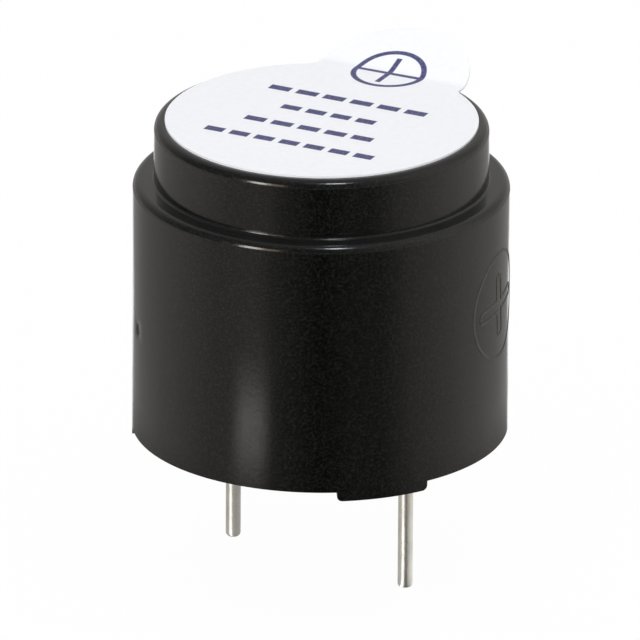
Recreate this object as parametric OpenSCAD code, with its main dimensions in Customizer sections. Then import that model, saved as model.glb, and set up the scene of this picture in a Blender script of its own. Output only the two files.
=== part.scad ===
// Magnetic buzzer for a circuit board, with two leads and a peel-off wash seal.
// The origin is on the body's axis at the seating plane under the feet, and +X points to the positive lead.

/* [Housing] */
// Outer diameter of the moulded body
body_d = 16; // [14.5:0.5:20]
// Height of the body above the lower edge of its wall
body_h = 13.7; // [12.5:0.1:18]
// Thickness of the moulded wall
wall = 0.8; // [0.6:0.05:0.95]
// Thickness of the top
top_t = 0.9; // [0.6:0.05:1.2]
// How far the neck stands in from the wall
shoulder_w = 0.9; // [0.7:0.05:1.1]
// Height of the neck from the shoulder to the top
neck_h = 2.58; // [2.1:0.02:3.3]
// Radius of the shoulder's outer edge
shoulder_r = 0.33; // [0.1:0.01:0.4]
// Radius of the hollow where the neck meets the shoulder
neck_hollow_r = 0.1; // [0.04:0.01:0.15]
// Radius of the top's outer edge
top_r = 0.375; // [0.2:0.005:0.6]
// Diameter of the sound hole under the seal
sound_hole_d = 3.6; // [2:0.1:5]

/* [Standoff feet] */
// Number of feet under the wall
foot_count = 3; // [2:1:4]
// Height of a foot
foot_h = 0.4; // [0.2:0.05:0.8]
// Arc that a foot covers, in degrees
foot_span = 29.4; // [15:0.2:45]
// Direction of the first foot, in degrees
foot_deg = -55; // [-90:5:90]
// Radius of a foot's lower corners
foot_r = 0.25; // [0.05:0.01:0.35]

/* [Moulded marks] */
// Diameter of the ring round the plus sign on the wall
mark_d = 4.6; // [3:0.1:6]
// Height of the mark's centre above the wall's lower edge
mark_up = 6.38; // [5:0.02:8]
// Direction of the mark, in degrees
mark_deg = -4.5; // [-30:0.5:30]
// Reach of the plus sign's arms from its centre
plus_reach = 1.8; // [1:0.05:1.9]
// Width of the plus sign's arms
plus_w = 0.6; // [0.3:0.02:0.7]
// Width of the raised lines
mark_line = 0.12; // [0.08:0.01:0.2]
// Height of the raised lines over the wall
mark_relief = 0.05; // [0.02:0.01:0.12]
// Diameter of the mould's injection mark
gate_d = 0.5; // [0.3:0.05:0.9]
// Depth of the injection mark
gate_depth = 0.06; // [0.03:0.01:0.15]
// Height of the injection mark above the wall's lower edge
gate_up = 5; // [3:0.1:8]
// Direction of the injection mark, in degrees
gate_deg = -150; // [-170:5:-100]

/* [Wash seal] */
// Diameter of the seal's round part
seal_d = 13.28; // [10:0.02:13.4]
// Thickness of the film
seal_t = 0.1; // [0.05:0.01:0.2]
// Width of the pull tab at its fold
tab_w = 6.86; // [4:0.02:7.4]
// Length of the pull tab beyond its fold, seen from above
tab_reach = 3.12; // [1.5:0.02:4]
// How far the fold lies inside the seal's edge
fold_in = 0.51; // [0.3:0.01:1.2]
// Angle by which the tab is bent up, in degrees
tab_bend = 19; // [10:1:40]
// Radius of the film's bend
bend_r = 1.4; // [0.5:0.1:3]
// Direction of the tab, in degrees
tab_deg = 75.5; // [60:0.5:120]

/* [Leads] */
// Distance between the two leads
lead_pitch = 7.6; // [6.8:0.1:8.2]
// Diameter of a lead
lead_d = 0.64; // [0.5:0.02:0.8]
// Length of the positive lead below the seating plane
lead_long = 6.75; // [3:0.05:12]
// Length of the negative lead below the seating plane
lead_short = 5.25; // [3:0.05:12]
// Radius of the leads' rounded tips
tip_r = 0.2; // [0.05:0.01:0.24]
// Length of a lead above the circuit board
lead_proud = 0.35; // [0.2:0.05:0.6]
// Diameter of the collar that holds a lead in the resin
collar_d = 1; // [0.96:0.02:1.3]

/* [Base] */
// Depth of the resin below the wall's lower edge
base_recess = 0.5; // [0.2:0.05:1]
// Thickness of the sealing resin
resin_t = 0.6; // [0.55:0.05:0.9]
// Height to which the resin creeps along the wall and the leads
resin_creep = 0.09; // [0.05:0.01:0.3]
// Thickness of the base cover's floor
cover_t = 0.8; // [0.5:0.05:1.2]
// Width of the base cover's standing rim
cover_rim_w = 0.8; // [0.5:0.05:1]
// Room for the parts between the cover and the circuit board
parts_h = 1.2; // [1.1:0.05:1.6]
// Thickness of the circuit board
board_t = 0.8; // [0.5:0.1:1.2]
// Thickness of the copper tracks
track_t = 0.04; // [0.02:0.01:0.07]
// Width of the copper tracks
track_w = 0.4; // [0.2:0.05:0.5]
// Diameter of the copper ring round a lead
pad_d = 1.7; // [1.3:0.1:1.9]
// Height of the solder on a lead
solder_h = 0.55; // [0.3:0.05:0.8]

/* [Motor] */
// Thickness of the yoke plate
yoke_t = 0.8; // [0.6:0.05:1.2]
// Thickness of the support ring round the magnet
ring_wall = 1.6; // [1.2:0.05:1.9]
// Thickness of the ring magnet, from its hole to its side
magnet_wall = 1.6; // [1.2:0.05:1.9]
// Height of the ring magnet
magnet_h = 3.2; // [2:0.1:3.8]
// Diameter of the pole core
pole_d = 2.5; // [2:0.1:3]
// Diameter of the spigot that is riveted into the yoke plate
spigot_d = 1.8; // [1.2:0.1:1.9]
// Height of the pole core over the coil
pole_proud = 0.3; // [0.1:0.05:0.6]
// Diameter of the coil's wire where it leaves the winding
wire_d = 0.16; // [0.1:0.01:0.2]
// Gap between the coil's side and its leads
wire_out = 0.12; // [0.1:0.01:0.2]
// Height above the yoke at which the wire leaves the coil
wire_up = 0.6; // [0.4:0.05:1]
// Gap between the pole core and the diaphragm
air_gap = 0.4; // [0.2:0.05:0.6]
// Width of the seat that carries the diaphragm's edge
seat_w = 0.65; // [0.5:0.05:0.8]
// Thickness of the diaphragm
diaphragm_t = 0.1; // [0.05:0.01:0.15]
// Depth of the diaphragm's seat below the top of the support ring
seat_depth = 0.32; // [0.2:0.02:0.6]
// Diameter of the weight on the diaphragm
weight_d = 4.8; // [3:0.1:6]
// Thickness of the weight
weight_t = 0.3; // [0.2:0.05:0.5]

/* [Clearances] */
// Gap between pieces that are pushed into the housing and its wall
slide_fit = 0.05; // [0.02:0.01:0.1]
// Gap round pieces that are pressed, soldered or moulded in place
bond_fit = 0.01; // [0.005:0.005:0.03]
// Gap round a lead or a wire where it passes through a hole
pass_fit = 0.08; // [0.04:0.01:0.12]
// Gap round a lead in the yoke plate
yoke_gap = 0.5; // [0.3:0.05:0.6]
// Gap between the coil and the hole of the ring magnet
coil_gap = 0.5; // [0.45:0.05:0.8]
// Gap between the cover's rim and the track that runs along it
rim_gap = 0.35; // [0.2:0.05:0.5]
// Gap between the cover's rim and the parts near it
part_gap = 0.8; // [0.6:0.05:1]

/* [Hidden] */

$fn = 96;
cut = 0.5;
arc_steps = 8;

body_r = body_d / 2;
inner_r = body_r - wall;
neck_r = body_r - shoulder_w;
chamber_r = neck_r - wall;
insert_r = inner_r - slide_fit;
room_r = insert_r - cover_rim_w;
lead_r = lead_d / 2;
lead_x = lead_pitch / 2;
collar_r = collar_d / 2;

// The motor's pieces from the support ring in to the coil, each sized by the one that holds it
ring_bore_r = insert_r - ring_wall;
magnet_r = ring_bore_r - slide_fit;
magnet_hole_r = magnet_r - magnet_wall;
coil_r = magnet_hole_r - coil_gap;
seat_r = ring_bore_r + seat_w;
diaphragm_r = seat_r - slide_fit;

// Heights of the housing, from the seating plane up
z_rim = foot_h;
z_top = z_rim + body_h;
z_shoulder = z_top - neck_h;
z_ledge = z_shoulder - wall;
z_chamber = z_top - top_t;
z_mark = z_rim + mark_up;
z_gate = z_rim + gate_up;

// Heights of the base, from the resin up to the yoke plate
z_resin = z_rim + base_recess;
z_cover = z_resin + resin_t;
z_parts = z_cover + cover_t;
z_board = z_parts + parts_h;
z_tracks = z_board - track_t;
z_yoke = z_board + board_t;
z_motor = z_yoke + yoke_t;

// Heights of the motor, from the diaphragm down to the coil
z_diaphragm = z_ledge - seat_depth;
z_pole = z_diaphragm - air_gap;
z_coil = z_pole - pole_proud;

// Places of the coil's three leads, and the copper round them
wire_r = wire_d / 2;
wire_at = coil_r + wire_out + wire_r;
wire_degs = [90, 210, 330];
wire_hole_r = wire_r + pass_fit;
wire_pad_r = 0.5;
wire_tail = 0.2;

// Sizes of the parts under the board, as length, width and height
transistor_size = [2.9, 1.3, 0.95];
diode_size = [1.7, 1.25, 0.8];
resistor_size = [1.6, 0.8, 0.45];
capacitor_size = [1.6, 0.8, 0.8];
leg_w = 0.4;
leg_t = 0.12;
leg_reach = 0.6;
leg_end = 0.7;
leg_pitch = 1.9;
cap_w = 0.3;
cap_t = 0.03;
cap_slope = 0.08;
pad_over = 0.15;

// Places of the parts: two stand near the cover's rim, and two round the middle
diode_x = 1;
diode_y = -0.6;
capacitor_y = 1.5;
resistor_deg = 60;
transistor_at = [0, -(room_r - part_gap - leg_end - transistor_size[1] / 2)];
resistor_at = polar(room_r - part_gap - resistor_size[0] / 2, resistor_deg);
diode_at = [diode_x, diode_y];
capacitor_at = [0, capacitor_y];

// Radius of the track that runs along the cover's rim
rim_track_r = room_r - rim_gap - track_w / 2;

// Edge of the seal's round part, and where the tab folds
seal_r = seal_d / 2;
fold_at = seal_r - fold_in;

// Points on an arc round a centre, from one angle to another
function arc(c, r, from, to) =
    [for (i = [0:arc_steps]) let (a = from + (to - from) * i / arc_steps)
        [c[0] + r * cos(a), c[1] + r * sin(a)]];

// A point at a radius and a direction
function polar(r, a) = [r * cos(a), r * sin(a)];

// Outline of a plus sign with round arm ends
function plus_points(reach, w) =
    [for (k = [0:3]) for (p = concat(arc([reach - w / 2, 0], w / 2, -90, 90), [[w / 2, w / 2]]))
        [p[0] * cos(90 * k) - p[1] * sin(90 * k), p[0] * sin(90 * k) + p[1] * cos(90 * k)]];

// A tube between two heights
module tube(r_in, r_out, z0, z1) {
    translate([0, 0, z0])
        difference() {
            cylinder(r = r_out, h = z1 - z0);
            translate([0, 0, -cut])
                cylinder(r = r_in, h = z1 - z0 + 2 * cut);
        }
}

// A round bar or bore between two heights
module rod(r, z0, z1) {
    translate([0, 0, z0])
        cylinder(r = r, h = z1 - z0);
}

// Extrudes an outline of width and height outwards from the axis, in a given direction
module outwards(deg, length) {
    rotate([0, 0, deg])
        rotate([90, 0, 90])
            linear_extrude(height = length)
                children();
}

// Bores for both leads
module lead_bores(r, z0, z1) {
    for (x = [-lead_x, lead_x])
        translate([x, 0, 0])
            rod(r, z0, z1);
}

// Bores for the coil's leads
module wire_bores(r, z0, z1) {
    for (a = wire_degs)
        translate([each polar(wire_at, a), 0])
            rod(r, z0, z1);
}

// Outer form of the housing, with its round shoulder, the hollow at the neck's foot and the rounded top edge
module housing_outside() {
    rotate_extrude()
        polygon(concat(
            [[0, -cut], [body_r, -cut]],
            arc([body_r - shoulder_r, z_shoulder - shoulder_r], shoulder_r, 0, 90),
            arc([neck_r + neck_hollow_r, z_shoulder + neck_hollow_r], neck_hollow_r, 270, 180),
            arc([neck_r - top_r, z_top - top_r], top_r, 0, 90),
            [[0, z_top]]));
}

// Inner form of the housing: the wide bore, the ledge for the support ring and the sound chamber
module housing_inside() {
    rotate_extrude()
        polygon([[0, -2 * cut], [inner_r, -2 * cut], [inner_r, z_ledge], [chamber_r, z_ledge],
                 [chamber_r, z_chamber], [0, z_chamber]]);
    rod(sound_hole_d / 2, z_chamber - cut, z_top + cut);
}

// Outline of a foot, with its lower corners rounded
module foot_outline() {
    half = body_r * sin(foot_span / 2);
    polygon(concat(
        arc([foot_r - half, foot_r], foot_r, 180, 270),
        arc([half - foot_r, foot_r], foot_r, 270, 360),
        [[half, z_rim + cut], [-half, z_rim + cut]]));
}

// What is cut away under the wall to leave the feet
module foot_gaps() {
    difference() {
        rod(body_r + cut, -2 * cut, z_rim);
        for (i = [0:foot_count - 1])
            outwards(foot_deg + 360 * i / foot_count, body_d)
                foot_outline();
    }
}

// Thin raised ring and outlined plus sign on the wall over the positive lead
module polarity_mark() {
    intersection() {
        tube(body_r - wall / 4, body_r + mark_relief, z_mark - mark_d, z_mark + mark_d);
        outwards(mark_deg, body_d)
            translate([0, z_mark])
                polarity_outline();
    }
}

module polarity_outline() {
    difference() {
        circle(d = mark_d);
        circle(d = mark_d - 2 * mark_line);
    }
    difference() {
        polygon(plus_points(plus_reach, plus_w));
        polygon(plus_points(plus_reach - mark_line, plus_w - 2 * mark_line));
    }
}

// Small round pit left by the mould's injection point
module gate_pit() {
    translate([each polar(body_r - gate_depth, gate_deg), z_gate])
        rotate([0, 90, gate_deg])
            cylinder(d = gate_d, h = cut);
}

module housing() {
    color("#17171a")
        union() {
            difference() {
                housing_outside();
                housing_inside();
                foot_gaps();
                gate_pit();
            }
            polarity_mark();
        }
}

// Side view of the film, flat to the fold and then bent up
module seal_side() {
    down = -90;
    flat = seal_r + cut;
    straight = 2 * tab_reach;
    outer_r = bend_r + seal_t;
    tip = polar(straight, tab_bend);
    lower = arc([fold_at, z_top + outer_r], outer_r, down, down + tab_bend);
    upper = arc([fold_at, z_top + outer_r], bend_r, down + tab_bend, down);
    polygon(concat(
        [[-flat, z_top]], lower, [lower[arc_steps] + tip], [upper[0] + tip], upper,
        [[-flat, z_top + seal_t]]));
}

// Outline of the seal from above, with the tab along +X
module seal_outline() {
    half = tab_w / 2;
    circle(r = seal_r);
    polygon(concat(
        [for (i = [0:4 * arc_steps]) let (a = -90 + 180 * i / (4 * arc_steps))
            [fold_at + tab_reach * cos(a), half * sin(a)]],
        [[0, 0.9 * half], [0, -0.9 * half]]));
}

module wash_seal() {
    color("#f4f5fa")
        rotate([0, 0, tab_deg])
            intersection() {
                translate([0, 0, z_top - cut])
                    linear_extrude(height = body_h)
                        seal_outline();
                translate([0, body_r, 0])
                    rotate([90, 0, 0])
                        linear_extrude(height = body_d)
                            seal_side();
            }
}

module support_ring() {
    color("#d8d4c8")
        difference() {
            rod(insert_r, z_motor, z_ledge);
            rod(ring_bore_r, z_motor - cut, z_ledge + cut);
            rod(seat_r, z_diaphragm, z_ledge + cut);
        }
}

module diaphragm() {
    color("#b9bcc0")
        rod(diaphragm_r, z_diaphragm, z_diaphragm + diaphragm_t);
}

module diaphragm_weight() {
    color("#8d9095")
        rod(weight_d / 2, z_diaphragm + diaphragm_t, z_diaphragm + diaphragm_t + weight_t);
}

module ring_magnet() {
    color("#3a3a3e")
        tube(magnet_hole_r, magnet_r, z_motor, z_motor + magnet_h);
}

// One lead of the coil: out of the winding, round a bend and down through the board
module coil_lead(deg) {
    z_out = z_motor + wire_up;
    rotate([0, 0, deg]) {
        translate([wire_at, 0, 0])
            rod(wire_r, z_board - wire_tail, z_out);
        translate([wire_at, 0, z_out])
            sphere(r = wire_r);
        translate([coil_r - cut, 0, z_out])
            rotate([0, 90, 0])
                cylinder(r = wire_r, h = wire_at - coil_r + cut);
    }
}

module coil() {
    color("#b4622d")
        union() {
            tube(pole_d / 2 + bond_fit, coil_r, z_motor, z_coil);
            for (a = wire_degs)
                coil_lead(a);
        }
}

module pole_core() {
    color("#a7a9ac")
        union() {
            rod(pole_d / 2, z_motor, z_pole);
            rod(spigot_d / 2, z_yoke, z_motor + cut);
        }
}

module yoke_plate() {
    color("#9a9ca0")
        difference() {
            rod(insert_r, z_yoke, z_motor);
            rod(spigot_d / 2 + bond_fit, z_yoke - cut, z_motor + cut);
            lead_bores(lead_r + yoke_gap, z_yoke - cut, z_motor + cut);
            wire_bores(wire_hole_r, z_yoke - cut, z_motor + cut);
        }
}

module circuit_board() {
    color("#3f6b3a")
        difference() {
            rod(insert_r, z_board, z_yoke);
            lead_bores(lead_r + pass_fit, z_board - cut, z_yoke + cut);
            wire_bores(wire_hole_r, z_board - cut, z_yoke + cut);
        }
}

// A track between two points, with round ends
module track(a, b) {
    d = b - a;
    translate(a)
        rotate([0, 0, atan2(d[1], d[0])])
            translate([0, -track_w / 2])
                square([norm(d), track_w]);
    for (p = [a, b])
        translate(p)
            circle(d = track_w + bond_fit);
}

// A line of tracks from point to point
module track_line(points) {
    for (i = [0:len(points) - 2])
        track(points[i], points[i + 1]);
}

// A rectangular pad at a point
module pad(at, size) {
    translate(at)
        square(size, center = true);
}

// Where a part's two ends meet the board
function end_of(at, size, side) = [at[0] + side * (size[0] / 2 - cap_w / 2), at[1]];
function leg_of(at, size, side) = [at[0] + side * (size[0] / 2 + leg_reach / 2), at[1]];
function foot_of(x, side) =
    [transistor_at[0] + x * leg_pitch / 2, transistor_at[1] + side * (transistor_size[1] / 2 + leg_reach)];

// Copper seen from above: rings, pads and the tracks that join them
module track_outline() {
    positive = [lead_x, 0];
    negative = [-lead_x, 0];
    wires = [for (a = wire_degs) polar(wire_at, a)];
    chip_pad = [cap_w + 2 * pad_over, resistor_size[1] + pad_over];
    leg_pad = [leg_w + pad_over, leg_reach];
    for (p = [positive, negative])
        translate(p)
            circle(d = pad_d);
    for (p = wires)
        translate(p)
            circle(r = wire_pad_r);
    for (side = [-1, 1]) {
        pad(end_of(resistor_at, resistor_size, side), chip_pad);
        pad(end_of(capacitor_at, capacitor_size, side), chip_pad);
        pad(leg_of(diode_at, diode_size, side), [leg_reach, leg_w + pad_over]);
        pad(foot_of(side, -1), leg_pad);
    }
    pad(foot_of(0, 1), leg_pad);
    track_line([positive, wires[2]]);
    track_line([positive, end_of(capacitor_at, capacitor_size, 1)]);
    track_line([positive, leg_of(diode_at, diode_size, 1)]);
    track_line([negative, end_of(capacitor_at, capacitor_size, -1)]);
    track_line([foot_of(0, 1), wires[1]]);
    track_line([foot_of(0, 1), leg_of(diode_at, diode_size, -1)]);
    track_line([wires[0], end_of(resistor_at, resistor_size, -1)]);
    track_line([foot_of(-1, -1), polar(rim_track_r, 225), polar(rim_track_r, 200), negative]);
    track_line(concat([foot_of(1, -1)], [for (a = [-50, -25, 0, 25]) polar(rim_track_r, a)],
                      [end_of(resistor_at, resistor_size, 1)]));
}

module board_tracks() {
    color("#c98a4b")
        difference() {
            translate([0, 0, z_tracks])
                linear_extrude(height = track_t)
                    track_outline();
            lead_bores(lead_r + pass_fit, z_tracks - cut, z_board + cut);
            wire_bores(wire_hole_r, z_tracks - cut, z_board + cut);
        }
}

// Hangs a part under the copper, with its own height counted away from the board
module under_board(at) {
    translate([at[0], at[1], z_tracks])
        mirror([0, 0, 1])
            children();
}

// One bent leg, reaching out along +Y from the body's side
module leg(body_half, z_out) {
    run = leg_reach / 3;
    translate([-leg_w / 2, 0, 0])
        rotate([90, 0, 90])
            linear_extrude(height = leg_w)
                polygon([[body_half - cap_w, z_out], [body_half - cap_w, z_out + leg_t],
                         [body_half + run, z_out + leg_t], [body_half + 2 * run, leg_t],
                         [body_half + leg_end, leg_t], [body_half + leg_end, 0],
                         [body_half + 2 * run - leg_t, 0], [body_half + run - leg_t, z_out]]);
}

// A moulded part body with sloping ends, a little above the board
module moulded_body(size) {
    half = size[0] / 2;
    rotate([90, 0, 0])
        linear_extrude(height = size[1], center = true)
            polygon([[cap_slope - half, cap_t], [half - cap_slope, cap_t], [half, size[2] / 2],
                     [half - cap_slope, size[2]], [cap_slope - half, size[2]], [-half, size[2] / 2]]);
}

module transistor() {
    half = transistor_size[1] / 2;
    z_out = transistor_size[2] / 2 - leg_t / 2;
    color("#26262a")
        under_board(transistor_at) {
            moulded_body(transistor_size);
            leg(half, z_out);
            for (side = [-1, 1])
                translate([side * leg_pitch / 2, 0, 0])
                    rotate([0, 0, 180])
                        leg(half, z_out);
        }
}

module clamp_diode() {
    z_out = diode_size[2] / 2 - leg_t / 2;
    color("#303036")
        under_board(diode_at) {
            moulded_body(diode_size);
            for (turn = [-90, 90])
                rotate([0, 0, turn])
                    leg(diode_size[0] / 2 - cap_t, z_out);
        }
}

// A ceramic chip with a metal cap on each end
module chip(size) {
    translate([-size[0] / 2 + cap_t, -size[1] / 2 + cap_t, cap_t])
        cube([size[0] - 2 * cap_t, size[1] - 2 * cap_t, size[2] - 2 * cap_t]);
    for (side = [-1, 1])
        translate([side * (size[0] - cap_w) / 2, 0, size[2] / 2])
            cube([cap_w, size[1], size[2]], center = true);
}

module base_resistor() {
    color("#1e1e22")
        under_board(resistor_at)
            chip(resistor_size);
}

module filter_capacitor() {
    color("#b59a70")
        under_board(capacitor_at)
            chip(capacitor_size);
}

// A round lead with a rounded tip, and a collar between the resin's face and the base cover
module pin(length) {
    rotate_extrude()
        polygon(concat(
            [[0, -length]],
            arc([lead_r - tip_r, tip_r - length], tip_r, 270, 360),
            [[lead_r, z_resin], [collar_r, z_resin], [collar_r, z_cover], [lead_r, z_cover],
             [lead_r, z_yoke + lead_proud], [0, z_yoke + lead_proud]]));
}

module positive_pin() {
    color("#c9c8c4")
        translate([lead_x, 0, 0])
            pin(lead_long);
}

module negative_pin() {
    color("#c9c8c4")
        translate([-lead_x, 0, 0])
            pin(lead_short);
}

// Solder that narrows down a bar in a hollow curve from its pad
module solder_cone(bar_r, pad_r, h) {
    reach = pad_r - bar_r;
    rotate_extrude()
        polygon(concat(
            [[bar_r + bond_fit, z_tracks - h], [bar_r + bond_fit, z_tracks]],
            [for (i = [0:arc_steps]) let (a = 90 * i / arc_steps)
                [pad_r - (reach - 4 * bond_fit) * sin(a), z_tracks - h * (1 - cos(a))]]));
}

module positive_pin_solder() {
    color("#b8babd")
        translate([lead_x, 0, 0])
            solder_cone(lead_r, pad_d / 2, solder_h);
}

module negative_pin_solder() {
    color("#b8babd")
        translate([-lead_x, 0, 0])
            solder_cone(lead_r, pad_d / 2, solder_h);
}

module coil_lead_solder() {
    color("#b8babd")
        for (a = wire_degs)
            translate([each polar(wire_at, a), 0])
                solder_cone(wire_r, wire_pad_r, wire_tail - track_t + wire_r);
}

// Floor under the parts, with a standing rim that clamps the board
module base_cover() {
    color("#1c1c1f")
        difference() {
            rod(insert_r, z_cover, z_board);
            rod(insert_r - cover_rim_w, z_parts, z_board + cut);
            lead_bores(lead_r + pass_fit, z_cover - cut, z_parts + cut);
        }
}

// Resin poured over the base cover, which creeps along the wall and the leads
module sealing_resin() {
    resin_r = inner_r - bond_fit;
    creep_r = collar_r + 2 * resin_creep;
    color("#232326")
        difference() {
            union() {
                rotate_extrude()
                    polygon([[0, z_resin], [resin_r - resin_creep, z_resin],
                             [resin_r, z_resin - resin_creep], [resin_r, z_cover], [0, z_cover]]);
                for (x = [-lead_x, lead_x])
                    translate([x, 0, 0])
                        rotate_extrude()
                            polygon([[0, z_resin - resin_creep],
                                     [lead_r + 2 * bond_fit, z_resin - resin_creep], [creep_r, z_resin],
                                     [creep_r, z_resin + resin_t / 2], [0, z_resin + resin_t / 2]]);
            }
            lead_bores(lead_r + bond_fit, z_rim - cut, z_cover + cut);
            lead_bores(collar_r + bond_fit, z_resin, z_cover + cut);
        }
}

housing();
wash_seal();
support_ring();
diaphragm();
diaphragm_weight();
ring_magnet();
coil();
pole_core();
yoke_plate();
circuit_board();
board_tracks();
transistor();
base_resistor();
clamp_diode();
filter_capacitor();
positive_pin();
negative_pin();
positive_pin_solder();
negative_pin_solder();
coil_lead_solder();
base_cover();
sealing_resin();
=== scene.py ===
"""Magnetic buzzer, dressed round its packed frame: moulded housing, wash seal, leads and resin in finished meshes,
the inner pieces as the frame gives them, and a small photo studio. Run as a script inside Blender.

The pieces are worked out in millimetres and brought to metres in mesh_object. All else is in metres."""

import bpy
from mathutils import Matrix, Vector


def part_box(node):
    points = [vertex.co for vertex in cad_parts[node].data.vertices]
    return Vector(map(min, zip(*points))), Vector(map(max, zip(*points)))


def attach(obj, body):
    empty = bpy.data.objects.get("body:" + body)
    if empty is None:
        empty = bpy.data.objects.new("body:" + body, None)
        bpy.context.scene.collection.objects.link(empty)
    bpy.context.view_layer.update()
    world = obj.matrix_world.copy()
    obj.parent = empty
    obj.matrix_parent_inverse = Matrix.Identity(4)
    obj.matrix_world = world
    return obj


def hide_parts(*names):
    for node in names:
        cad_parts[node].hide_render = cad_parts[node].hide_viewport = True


bl_info = {
    "name": "Magnetic Buzzer",
    "version": (1, 0, 0),
    "blender": (4, 5, 0),
    "location": "3D View > Sidebar > Buzzer",
    "description": "Builds the visible pieces of a magnetic buzzer and a studio to look at them in",
    "category": "Add Mesh",
}

import math

import bmesh
import bpy
from bpy.props import FloatProperty, FloatVectorProperty, IntProperty, PointerProperty
from bpy.types import Operator, Panel, PropertyGroup
from mathutils import Matrix, Vector

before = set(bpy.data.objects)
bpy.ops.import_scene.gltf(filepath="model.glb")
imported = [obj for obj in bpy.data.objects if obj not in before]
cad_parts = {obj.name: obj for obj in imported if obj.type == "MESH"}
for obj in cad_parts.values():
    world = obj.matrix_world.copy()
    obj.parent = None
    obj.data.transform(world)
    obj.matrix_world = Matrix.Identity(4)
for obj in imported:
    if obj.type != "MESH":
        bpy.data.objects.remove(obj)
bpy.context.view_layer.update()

MM = 0.001
SMOOTH_ANGLE = math.radians(32)

FILM_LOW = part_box("wash_seal")[0]
LONG_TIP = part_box("positive_pin")[0]
SHORT_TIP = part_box("negative_pin")[0]
RESIN_LOW, RESIN_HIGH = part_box("sealing_resin")
LEAD_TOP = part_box("positive_pin")[1]

# In millimetres: how near counts as the same height, the resin's depth, and the square that the film's map covers.
CLOSE = 1e-3
RESIN_DEPTH = 0.6
FILM_MAP = 20.0


def number(name, description, default, **more):
    """A plain number."""
    return FloatProperty(name=name, description=description, default=default, **more)


def length(name, description, default):
    """A size in metres, shown in the user's own unit."""
    return number(name, description, default, min=0.0, precision=5, subtype="DISTANCE", unit="LENGTH")


def angle(name, description, degrees):
    """An angle, shown in degrees."""
    return number(name, description, math.radians(degrees), subtype="ANGLE", unit="ROTATION")


def colour(name, description, default):
    """A colour in linear light."""
    return FloatVectorProperty(name=name, description=description, default=default, size=3, min=0.0, max=1.0,
                               subtype="COLOR")


class BUZZER_PG_housing(PropertyGroup):
    """Sizes of the moulded housing."""
    body_radius: length("Body radius", "Radius of the wide wall", 0.008)
    wall: length("Wall", "Thickness of the moulded wall", 0.0008)
    top: length("Top", "Thickness of the top round the sound hole", 0.0009)
    shoulder: length("Shoulder", "Step from the wall in to the neck", 0.0009)
    neck_height: length("Neck height", "Height of the neck over the shoulder", 0.00258)
    shoulder_round: length("Shoulder edge", "Radius of the shoulder's outer edge", 0.00037)
    neck_hollow: length("Neck hollow", "Radius of the hollow at the neck's foot", 0.0001)
    top_round: length("Top edge", "Radius of the top's outer edge", 0.000375)
    lower_round: length("Lower edges", "Radius of all lower edges", 0.00013)
    foot_round: length("Foot ends", "Radius of the feet's corners", 0.00024)
    sound_hole: length("Sound hole", "Radius of the hole under the seal", 0.0018)
    foot_height: length("Foot height", "Height of the feet below the wall", 0.0004)
    foot_span: angle("Foot span", "Arc that one foot covers", 29.4)
    first_foot: angle("First foot", "Direction of a foot's middle", -55)
    foot_count: IntProperty(name="Feet", description="Number of feet under the wall", default=3, min=2, max=4)


class BUZZER_PG_marks(PropertyGroup):
    """Sizes and places of the marks moulded on the wall."""
    direction: angle("Direction", "Direction of the polarity mark", -4.2)
    height: length("Height", "Height over the seating plane", 0.00688)
    lean: angle("Lean", "Turn of the plus sign out of level", 4.0)
    ring_radius: length("Ring radius", "Outer radius of the ring", 0.0024)
    plus_reach: length("Arm reach", "Reach of the level arms", 0.0019)
    plus_rise: length("Arm rise", "Reach of the upright arms", 0.00145)
    plus_width: length("Arm width", "Width of the arms", 0.00062)
    line: length("Line width", "Width of the raised lines", 0.00014)
    relief: length("Relief", "Height of the raised lines", 0.000016)
    gate_direction: angle("Gate direction", "Direction of the injection mark", -150)
    gate_height: length("Gate height", "Height over the seating plane", 0.0054)
    gate_radius: length("Gate radius", "Radius of the injection mark", 0.00025)
    gate_depth: length("Gate depth", "Depth of the injection mark", 0.00006)


class BUZZER_PG_seal(PropertyGroup):
    """Sizes of the wash seal and of its print."""
    radius: length("Radius", "Radius of the round part", 0.00664)
    film: length("Film", "Thickness of the film", 0.0001)
    tab_radius: length("Tab radius", "Radius of the pull tab's round end", 0.00343)
    tab_centre: length("Tab middle", "From the seal's middle to the tab's", 0.00599)
    tab_aside: length("Tab aside", "Shift of the tab to its left", 0.00008)
    fold: length("Fold", "From the seal's middle to the fold", 0.00613)
    bend_radius: length("Bend radius", "Radius of the bend at the fold", 0.0014)
    bend: angle("Bend", "Angle by which the tab stands up", 18.7)
    direction: angle("Direction", "Direction of the tab", 75.5)
    print_direction: angle("Print direction", "Direction of the print's top", 78.5)
    sign_centre: length("Sign's middle", "From the seal's middle to the sign", 0.00616)
    sign_aside: length("Sign aside", "Shift of the sign to the right", 0.0001)
    sign_radius: length("Sign radius", "Outer radius of the sign", 0.00163)
    sign_line: length("Sign line", "Width of the sign's lines", 0.00024)


class BUZZER_PG_leads(PropertyGroup):
    """Sizes of the leads and of the resin round them."""
    pitch: length("Pitch", "Distance between the leads", 0.0076)
    radius: length("Lead radius", "Radius of a lead", 0.00032)
    collar: length("Collar radius", "Radius of a lead in the resin", 0.0005)
    tip_round: length("Tip rounding", "Rounding of the tips", 0.0002)
    wall_creep: length("Creep on the wall", "Height of the resin's outer rim", 0.00016)
    lead_creep: length("Creep on a lead", "Height of the resin round a lead", 0.00009)


class BUZZER_PG_finish(PropertyGroup):
    """Colours of the visible pieces."""
    plastic: colour("Plastic", "Black moulded plastic", (0.0028, 0.0027, 0.0026))
    mark: colour("Mark", "Raised polarity mark", (0.046, 0.044, 0.037))
    film: colour("Film", "Wash seal", (0.93, 0.94, 0.97))
    ink: colour("Ink", "Print on the wash seal", (0.052, 0.055, 0.18))
    tin: colour("Tin", "Tinned leads", (0.80, 0.785, 0.745))
    resin: colour("Resin", "Potting resin", (0.012, 0.011, 0.011))


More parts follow.
